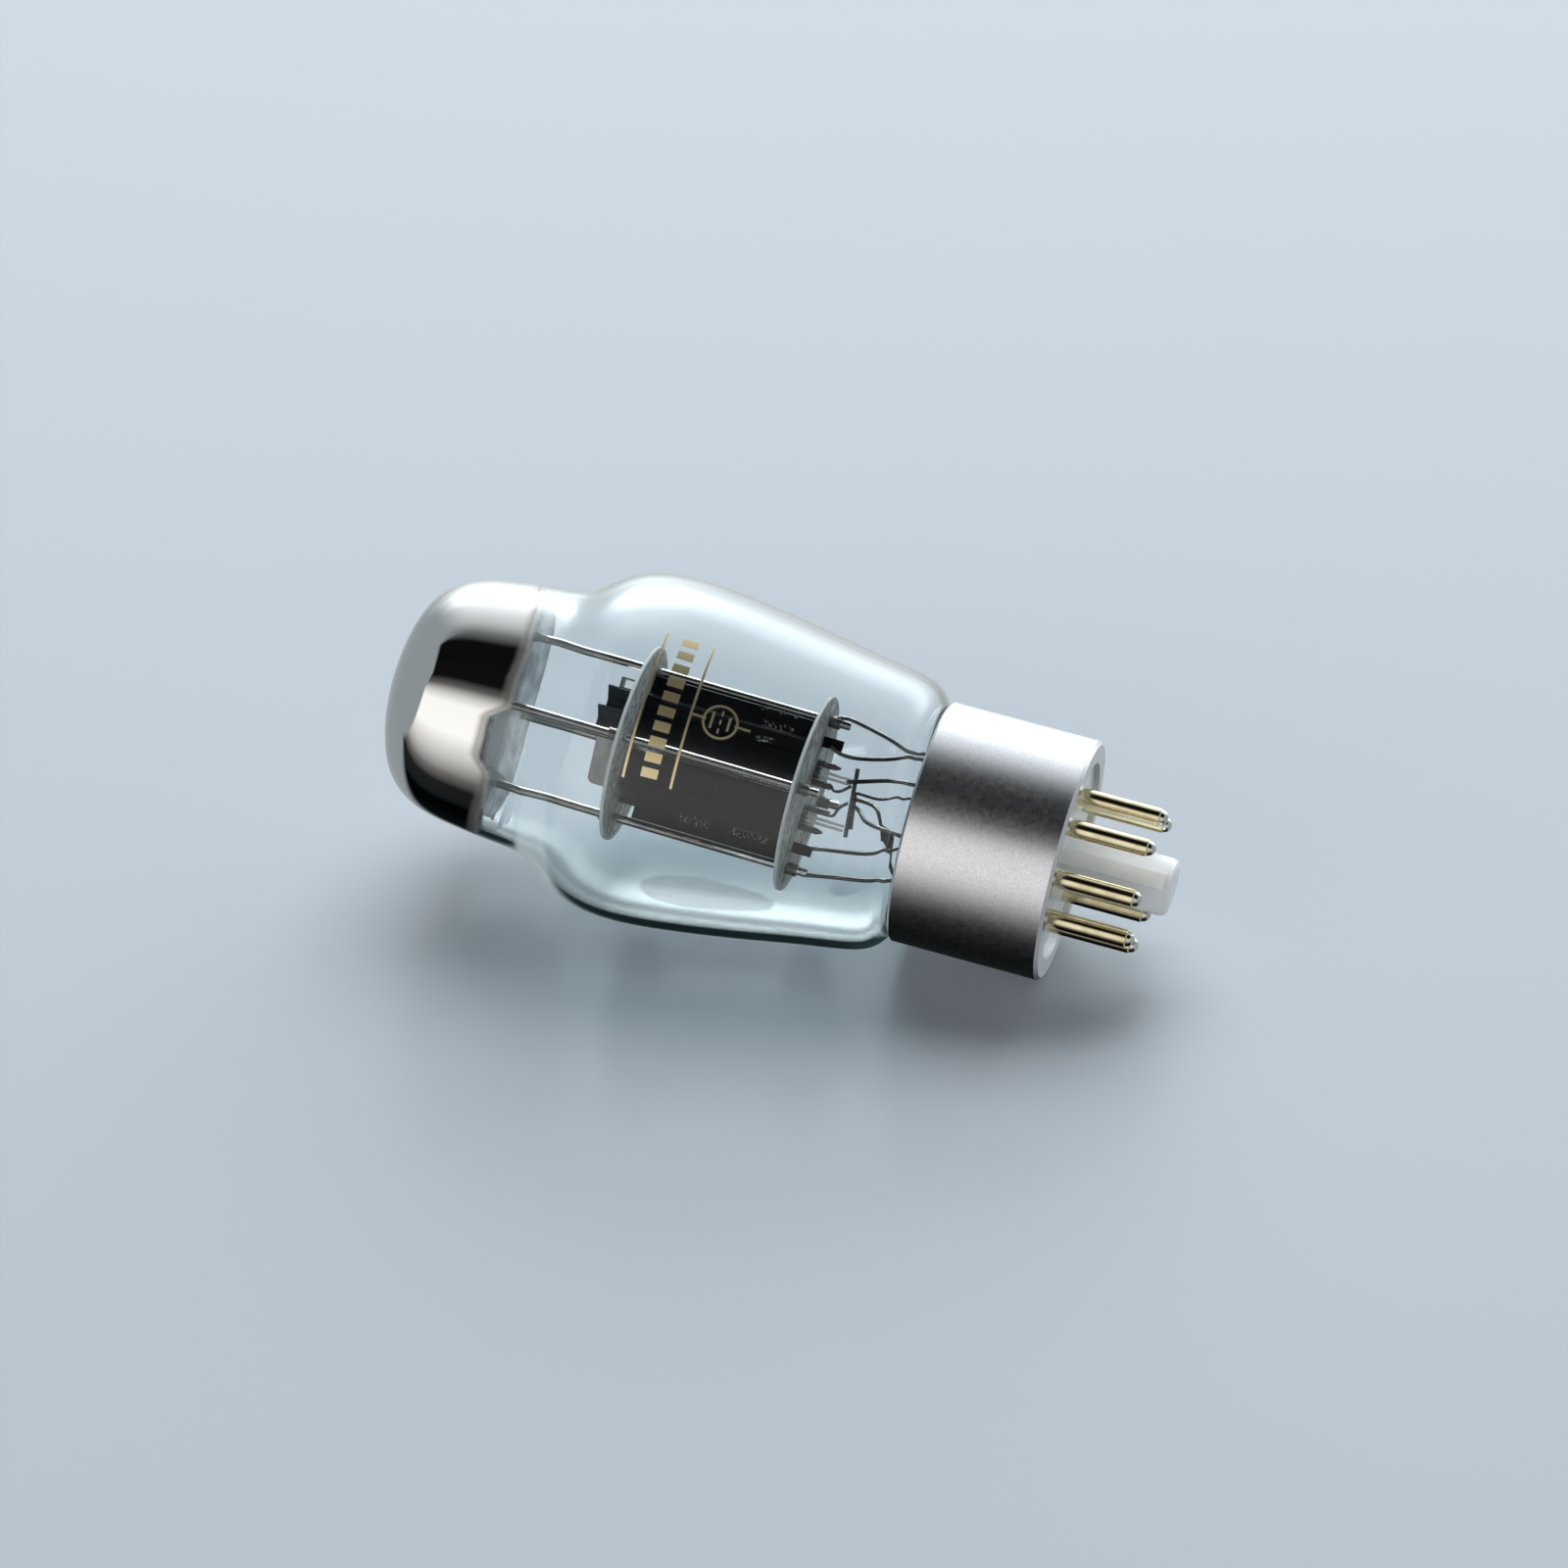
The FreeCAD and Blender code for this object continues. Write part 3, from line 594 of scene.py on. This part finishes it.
GLASS = glass_look()
SILVERED = silvered_look()
FILM = film_look()
MICA = mica_look()
CLEAR_MICA = clear_mica_look()
CARBON = carbon_look()
NICKEL = metal_look("bright_nickel", (0.70, 0.69, 0.675), 0.07)
DULL = metal_look("dull_nickel", (0.28, 0.27, 0.265), 0.24, streak=False)
WIRE = metal_look("lead_wire", (0.26, 0.25, 0.245), 0.14, streak=False)
FIN = metal_look("fin_nickel", (0.72, 0.72, 0.72), 0.4, streak=False)
DARK_FIN = plain_look("fin_grey", (0.036, 0.044, 0.052), (0.058, 0.069, 0.080), 0.45, 900)
SOLDER = metal_look("solder", (0.74, 0.72, 0.66), 0.12, streak=False)
SLEEVE = blasted_look()
GOLD = gold_look()
WAFER = plain_look("white_insulator", (0.84, 0.87, 0.88), (0.90, 0.92, 0.93), 0.3, 1500, 0.2)
COATING = plain_look("heater_coating", (0.72, 0.72, 0.70), (0.84, 0.84, 0.82), 0.7, 4000)
CEMENT = plain_look("base_cement", (0.30, 0.28, 0.25), (0.42, 0.40, 0.36), 0.8, 1800)


def dress(node, material):
    """Give a CAD node its finished material."""
    piece = NODES[node]
    if not piece.data.materials:
        piece.data.materials.append(material)
    for slot in piece.material_slots:
        slot.link = "OBJECT"
        slot.material = material


for name in NODES:
    if name.startswith("support_rod"):
        dress(name, NICKEL)
    elif name.startswith("lead_"):
        dress(name, WIRE)
    elif name.startswith(("heater_a", "heater_b")):
        dress(name, COATING)
    elif name.endswith("mica"):
        dress(name, MICA)
    else:
        dress(name, DULL)
for name, look in (("anode_a", CARBON), ("anode_b", CARBON), ("grid_fin_a", DARK_FIN),
                   ("grid_fin_b", FIN), ("spacer_mica", CLEAR_MICA), ("anode_strap", NICKEL),
                   ("base_pins", GOLD), ("pin_solder", SOLDER), ("base_wafer", WAFER),
                   ("base_cement", CEMENT), ("base_sleeve", SLEEVE), ("glass_stem", GLASS),
                   ("exhaust_tube", GLASS)):
    dress(name, look)


# ---------------------------------------------------------------- glass and mirror

def make_envelope():
    outer = bulb_profile(0)
    inner = bulb_profile(GLASS_WALL)
    neck_in = NECK_R - GLASS_WALL
    profile = [(neck_in, NECK_Z), (NECK_R, NECK_Z), (NECK_R, outer[0][1] - NECK_FLARE)] + outer
    back = list(reversed(inner)) + [(neck_in, inner[0][1] - NECK_FLARE)]
    piece = lathe("bulb_glass", profile + back, 192, sharp=40)
    piece.data.materials.append(SILVERED)
    return settle(piece, "clear_glass", "glass_envelope")


def make_film():
    lowest = FILM_LIP_Z - NECK_R * math.tan(FILM_LIP_TILT)
    outer = [p for p in bulb_profile(GLASS_WALL + FILM_GAP) if p[1] > lowest]
    inner = [p for p in bulb_profile(GLASS_WALL + FILM_GAP + FILM_WALL) if p[1] > lowest]
    piece = lathe("mirror_film", outer + list(reversed(inner)), 192, sharp=40)
    piece.data.materials.append(FILM)
    return settle(piece, "mirror_film", "getter_film")


make_envelope()
make_film()


# ---------------------------------------------------------------- stage and light

SLEEVE_R = 15.9 * MM
PALE = (0.545, 0.63, 0.70)
FLOOR_TONE = (0.425, 0.475, 0.53)
LAMP_WATTS = 11.6
LAMP_SIZE = (0.76, 1.1)
LAMP_DISTANCE = 1.25
LAMP_SETBACK = 0.45
LAMP_AIM = Vector((0, 0, 0.04))
SIDE = Vector((BACK.x, BACK.y, 0)).normalized()
ABOVE = UP.cross(SIDE)
if ABOVE.dot(PICTURE_UP) < 0:
    ABOVE = -ABOVE

# The studio as the tube sees it, by angle round its axis from the side that faces the camera (0)
# over the top (90): a card in front, then black, then the overhead softbox, and pale beyond both ends
BRIGHTEST = 3.2
CARD_TINT = (1.0, 0.985, 0.955)
SOFTBOX_TINT = (0.94, 1.0, 1.03)
TEAL = (0.45, 0.85, 0.95)
STUDIO = [
    (-180, 0.14, TEAL), (-150, 0.12, TEAL), (-130, 0.02, TEAL),
    (-92, 0.012, CARD_TINT), (-79, 0.14, CARD_TINT), (-67, 0.42, CARD_TINT), (-57, 0.70, CARD_TINT),
    (-46, 1.0, CARD_TINT), (-36, 1.25, CARD_TINT),
    (-8, 1.2, CARD_TINT), (0, 0.78, CARD_TINT), (9, 0.13, CARD_TINT), (17, 0.006, CARD_TINT),
    (57, 0.006, SOFTBOX_TINT), (68, 0.25, SOFTBOX_TINT), (79, 0.76, SOFTBOX_TINT), (92, 1.15, SOFTBOX_TINT),
    (103, 1.6, SOFTBOX_TINT), (113, 2.9, SOFTBOX_TINT), (132, 3.2, SOFTBOX_TINT), (146, 1.6, SOFTBOX_TINT),
    (162, 0.9, SOFTBOX_TINT), (180, 0.65, SOFTBOX_TINT),
]
# How the studio changes along the axis: (from slope, to slope, from gain, to gain), where the slope is the
# part of the direction that runs along the axis
CARD_GAINS = [(-0.10, 0.155, 0.68, 0.82), (0.155, 0.45, 0.0, 0.46)]
CARD_FOOT_GAIN = (0.155, 0.45, 0.55, 1.3)
TABLE_EDGE_GAIN = (-0.05, 0.10, 1.0, 0.08)
# What metal and far walls inside the glass see of the card and of the softbox
INSIDE_CARD = 0.35
INSIDE_SOFTBOX = 3.0
# How far along the axis that reaches before the pale ends begin, and how softly, by the same angle
STUDIO_ENDS = [
    (-180, 0.10, 0.08), (-150, 0.38, 0.07), (-120, 0.66, 0.06), (-95, 0.86, 0.04), (-55, 0.83, 0.012),
    (0, 0.81, 0.012), (20, 0.75, 0.012), (55, 0.74, 0.03), (66, 0.60, 0.15), (100, 0.60, 0.20),
    (150, 0.55, 0.22), (180, 0.30, 0.20),
]
END_TONE = (0.40, 0.45, 0.475)


def reflected(nodes):
    """1 on light paths that a shiny surface has turned, 0 on those that come straight or through glass."""
    depth = nodes.node("ShaderNodeLightPath").outputs["Glossy Depth"]
    return nodes.math("GREATER_THAN", depth, 0.5)


def floor_look(name):
    """A floor that shows only from its upper side, and that shiny surfaces don't pick up."""
    look = Look(name)
    look.set(Base_Color=(*FLOOR_TONE, 1), Roughness=0.3, Specular_IOR_Level=0.2)
    behind = look.node("ShaderNodeNewGeometry").outputs["Backfacing"]
    look.pass_through(look.math("MAXIMUM", behind, reflected(look)))
    return look.material


def make_floor(name, centre, normal, size):
    bm = bmesh.new()
    bmesh.ops.create_grid(bm, x_segments=1, y_segments=1, size=size / 2)
    mesh = bpy.data.meshes.new(name)
    bm.to_mesh(mesh)
    bm.free()
    floor = bpy.data.objects.new(name, mesh)
    floor.matrix_world = Matrix.Translation(centre) @ normal.to_track_quat("Z", "Y").to_matrix().to_4x4()
    bpy.context.collection.objects.link(floor)
    mesh.materials.append(floor_look(name))
    return floor


# In the camera's view the tube lies on the table, which touches the sleeve's rim and the bulb. The stand
# lies under the tip of the upright tube for the other views, and only the camera sees it.
lean = TABLE_UP.dot(UP)
rest_depth = SLEEVE_R * math.sqrt(1 - lean * lean)
make_floor("table", -TABLE_UP * rest_depth, TABLE_UP, 6.0)
stand = make_floor("stand", Vector((0, 0, cad_low[2] - 0.0002)), UP, 3.0)
stand.visible_diffuse = False
stand.visible_glossy = False
stand.visible_transmission = False
stand.visible_shadow = False


def make_lamp():
    """Overhead softbox that lights the floor and everything matt."""
    data = bpy.data.lights.new("overhead", "AREA")
    data.shape = "RECTANGLE"
    data.size, data.size_y = LAMP_SIZE
    data.energy = LAMP_WATTS
    lamp = bpy.data.objects.new("overhead", data)
    bpy.context.collection.objects.link(lamp)
    where = LAMP_AIM + (TABLE_UP - TABLE_FRONT * LAMP_SETBACK).normalized() * LAMP_DISTANCE
    lamp.matrix_world = aimed(where, LAMP_AIM, RIGHT)
    lamp.visible_camera = False
    lamp.visible_glossy = False
    lamp.visible_transmission = False


make_lamp()


def make_world():
    world = bpy.data.worlds.new("studio")
    world.use_nodes = True
    nodes = Nodes(world.node_tree)
    toward = nodes.place("Generated")
    turn = nodes.math("ARCTAN2", nodes.dot(toward, ABOVE), nodes.dot(toward, SIDE))
    around = nodes.math("ADD", nodes.math("DIVIDE", turn, 2 * math.pi), 0.5)
    stops = [(angle / 360 + 0.5, tuple(level / BRIGHTEST * c for c in tint)) for angle, level, tint in STUDIO]
    sides = nodes.ramp(around, *stops)

    slope = nodes.dot(toward, UP)
    on_card = nodes.within(turn, math.radians(-100), math.radians(28), math.radians(10))
    card_gain = nodes.math("ADD", *[nodes.step(slope, *gains) for gains in CARD_GAINS])
    foot = nodes.step(turn, math.radians(-80), math.radians(-45), nodes.step(slope, *CARD_FOOT_GAIN), 1.0)
    path = nodes.node("ShaderNodeLightPath")
    inside = nodes.math("MULTIPLY", path.outputs["Is Transmission Ray"], reflected(nodes))
    edge_gain = nodes.between(inside, nodes.step(slope, *TABLE_EDGE_GAIN), 1.0)
    edge = nodes.step(turn, math.radians(-118), math.radians(-108), edge_gain, 1.0)
    gain = nodes.math("MULTIPLY", nodes.between(on_card, 1.0, card_gain), nodes.math("MULTIPLY", foot, edge))
    sloping = nodes.step(slope, 0.0, 0.3, 1.0, INSIDE_SOFTBOX)
    under = nodes.step(turn, math.radians(60), math.radians(98), INSIDE_CARD, sloping)
    beyond = nodes.step(turn, math.radians(124), math.radians(142), 1.0, 0.25)
    inside_gain = nodes.math("MULTIPLY", under, beyond)
    gain = nodes.math("MULTIPLY", gain, nodes.between(inside, 1.0, inside_gain))
    gain = nodes.math("MULTIPLY", gain, BRIGHTEST)
    lit = nodes.node("ShaderNodeVectorMath", operation="SCALE")
    nodes.link(sides, lit.inputs[0])
    nodes.link(gain, lit.inputs["Scale"])

    reaches = [(angle / 360 + 0.5, (reach - soft, reach + soft, 0)) for angle, reach, soft in STUDIO_ENDS]
    split = nodes.node("ShaderNodeSeparateColor")
    nodes.link(nodes.ramp(around, *reaches), split.inputs["Color"])
    end = nodes.step(nodes.math("ABSOLUTE", slope), split.outputs["Red"], split.outputs["Green"])
    studio = nodes.mix("MIX", end, lit.outputs["Vector"], END_TONE)

    seen = nodes.math("MAXIMUM", path.outputs["Is Camera Ray"], path.outputs["Is Transmission Ray"])
    turned = nodes.math("ADD", path.outputs["Glossy Depth"], path.outputs["Diffuse Depth"])
    straight = nodes.math("MULTIPLY", seen, nodes.math("LESS_THAN", turned, 0.5))
    background = world.node_tree.nodes["Background"]
    nodes.link(nodes.mix("MIX", straight, studio, PALE), background.inputs["Color"])
    bpy.context.scene.world = world


make_world()
bpy.context.scene.view_settings.view_transform = "Standard"
